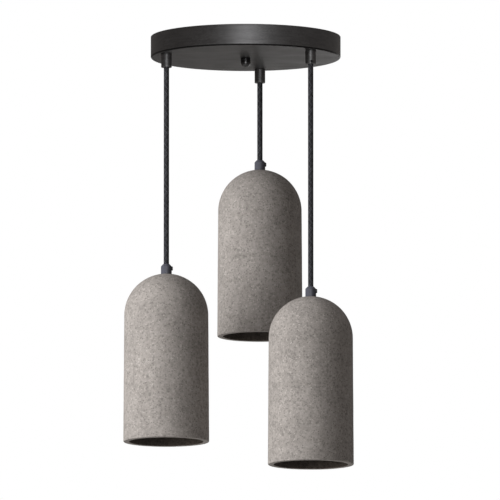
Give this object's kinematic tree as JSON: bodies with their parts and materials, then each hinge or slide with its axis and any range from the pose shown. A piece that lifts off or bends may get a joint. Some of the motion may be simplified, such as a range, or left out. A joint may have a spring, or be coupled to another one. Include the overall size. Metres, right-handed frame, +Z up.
{
  "type": "pendant ceiling light",
  "caption": "Cluster pendant: bullet-shaped concrete shades on black textile cords at different heights, hung from a round black metal ceiling canopy.",
  "frame": {"origin": "middle of the ceiling bracket's top face, on the ceiling plane and on the canopy's axis", "axes": "+Z up into the ceiling, along the canopy's axis; +X towards the lowest pendant's side, along the bracket; +Y towards the highest pendant"},
  "size_m": [0.3048, 0.2923, 0.5755],
  "materials": {
    "black_metal": "matt black paint over fine brushing",
    "zinc_steel": "zinc plated",
    "brass": "plain",
    "black_cord": "braided textile",
    "lead_sheath": "wire insulation",
    "block_plastic": "moulded",
    "collar_plastic": "satin moulded",
    "black_screw": "black oxide",
    "concrete": "cast, sealed",
    "fibre": "pressed fibre",
    "holder_plastic": "moulded thermoset",
    "cap_metal": "threaded",
    "opal_glass": "opal"
  },
  "bodies": {
    "bracket": {"ceiling_bracket": "zinc_steel", "centre_stud": "zinc_steel", "stud_nut": "zinc_steel", "earth_screw": "brass"},
    "canopy": {"canopy": "black_metal", "grip_nuts": "zinc_steel", "grip_screws": "zinc_steel", "cord_entries": "black_cord", "terminal_block": "block_plastic", "terminal_screws": "brass", "lead_cores": "lead_sheath", "cord_grip_left": "black_metal", "cord_grip_rear": "black_metal", "cord_grip_right": "black_metal"},
    "cap_nut": {"cap_nut": "black_metal"},
    "cord_flex_left": {"cord_flex_left": "black_cord"},
    "cord_top_left": {"cord_top_left": "black_cord"},
    "cord_run_left": {"cord_run_left": "black_cord"},
    "lamp_left": {"collar_left": "collar_plastic", "clamp_screw_left": "black_screw", "nipple_left": "zinc_steel", "shade_left": "concrete", "seat_washer_left": "fibre", "lock_nut_left": "zinc_steel", "holder_cap_left": "holder_plastic", "holder_body_left": "holder_plastic", "screw_shell_left": "brass", "centre_contact_left": "brass"},
    "bulb_left": {"bulb_cap_left": "cap_metal", "bulb_globe_left": "opal_glass"},
    "cord_flex_rear": {"cord_flex_rear": "black_cord"},
    "cord_top_rear": {"cord_top_rear": "black_cord"},
    "cord_run_rear": {"cord_run_rear": "black_cord"},
    "lamp_rear": {"collar_rear": "collar_plastic", "clamp_screw_rear": "black_screw", "nipple_rear": "zinc_steel", "shade_rear": "concrete", "seat_washer_rear": "fibre", "lock_nut_rear": "zinc_steel", "holder_cap_rear": "holder_plastic", "holder_body_rear": "holder_plastic", "screw_shell_rear": "brass", "centre_contact_rear": "brass"},
    "bulb_rear": {"bulb_cap_rear": "cap_metal", "bulb_globe_rear": "opal_glass"},
    "cord_flex_right": {"cord_flex_right": "black_cord"},
    "cord_top_right": {"cord_top_right": "black_cord"},
    "cord_run_right": {"cord_run_right": "black_cord"},
    "lamp_right": {"collar_right": "collar_plastic", "clamp_screw_right": "black_screw", "nipple_right": "zinc_steel", "shade_right": "concrete", "seat_washer_right": "fibre", "lock_nut_right": "zinc_steel", "holder_cap_right": "holder_plastic", "holder_body_right": "holder_plastic", "screw_shell_right": "brass", "centre_contact_right": "brass"},
    "bulb_right": {"bulb_cap_right": "cap_metal", "bulb_globe_right": "opal_glass"}
  },
  "joints": [
    {"name": "canopy_drop", "type": "slide", "parent": "bracket", "child": "canopy", "axis": [0, 0, -1], "range_m": [0, 0.06]},
    {"name": "cap_nut_turn", "type": "hinge", "parent": "canopy", "child": "cap_nut", "pos_m": [0, 0, -0.028], "axis": [0, 0, 1], "continuous": true},
    {"name": "swing_left", "type": "hinge", "parent": "canopy", "child": "cord_flex_left", "pos_m": [-0.09613, -0.0555, -0.052], "axis": [1, 0, 0], "range_deg": [-15, 15]},
    {"name": "sway_left", "type": "hinge", "parent": "cord_flex_left", "child": "cord_top_left", "pos_m": [-0.09613, -0.0555, -0.052], "axis": [0, 1, 0], "range_deg": [-8, 30]},
    {"name": "twist_left", "type": "hinge", "parent": "cord_top_left", "child": "cord_run_left", "pos_m": [-0.09613, -0.0555, -0.052], "axis": [0, 0, 1], "range_deg": [-180, 180], "stiffness_Nm_per_rad": 0.002},
    {"name": "raise_left", "type": "slide", "parent": "cord_run_left", "child": "lamp_left", "axis": [0, 0, 1], "range_m": [0, 0.12], "deforming": ["cord_run_left"]},
    {"name": "unscrew_left", "type": "slide", "parent": "lamp_left", "child": "bulb_left", "axis": [0, 0, -1], "range_m": [0, 0.2]},
    {"name": "swing_rear", "type": "hinge", "parent": "canopy", "child": "cord_flex_rear", "pos_m": [0, 0.111, -0.052], "axis": [1, 0, 0], "range_deg": [-15, 15]},
    {"name": "sway_rear", "type": "hinge", "parent": "cord_flex_rear", "child": "cord_top_rear", "pos_m": [0, 0.111, -0.052], "axis": [0, 1, 0], "range_deg": [-25, 25]},
    {"name": "twist_rear", "type": "hinge", "parent": "cord_top_rear", "child": "cord_run_rear", "pos_m": [0, 0.111, -0.052], "axis": [0, 0, 1], "range_deg": [-180, 180], "stiffness_Nm_per_rad": 0.002},
    {"name": "raise_rear", "type": "slide", "parent": "cord_run_rear", "child": "lamp_rear", "axis": [0, 0, 1], "range_m": [0, 0.04], "deforming": ["cord_run_rear"]},
    {"name": "unscrew_rear", "type": "slide", "parent": "lamp_rear", "child": "bulb_rear", "axis": [0, 0, -1], "range_m": [0, 0.2]},
    {"name": "swing_right", "type": "hinge", "parent": "canopy", "child": "cord_flex_right", "pos_m": [0.09613, -0.0555, -0.052], "axis": [1, 0, 0], "range_deg": [-15, 15]},
    {"name": "sway_right", "type": "hinge", "parent": "cord_flex_right", "child": "cord_top_right", "pos_m": [0.09613, -0.0555, -0.052], "axis": [0, 1, 0], "range_deg": [-30, 8]},
    {"name": "twist_right", "type": "hinge", "parent": "cord_top_right", "child": "cord_run_right", "pos_m": [0.09613, -0.0555, -0.052], "axis": [0, 0, 1], "range_deg": [-180, 180], "stiffness_Nm_per_rad": 0.002},
    {"name": "raise_right", "type": "slide", "parent": "cord_run_right", "child": "lamp_right", "axis": [0, 0, 1], "range_m": [0, 0.14], "deforming": ["cord_run_right"]},
    {"name": "unscrew_right", "type": "slide", "parent": "lamp_right", "child": "bulb_right", "axis": [0, 0, -1], "range_m": [0, 0.2]}
  ]
}
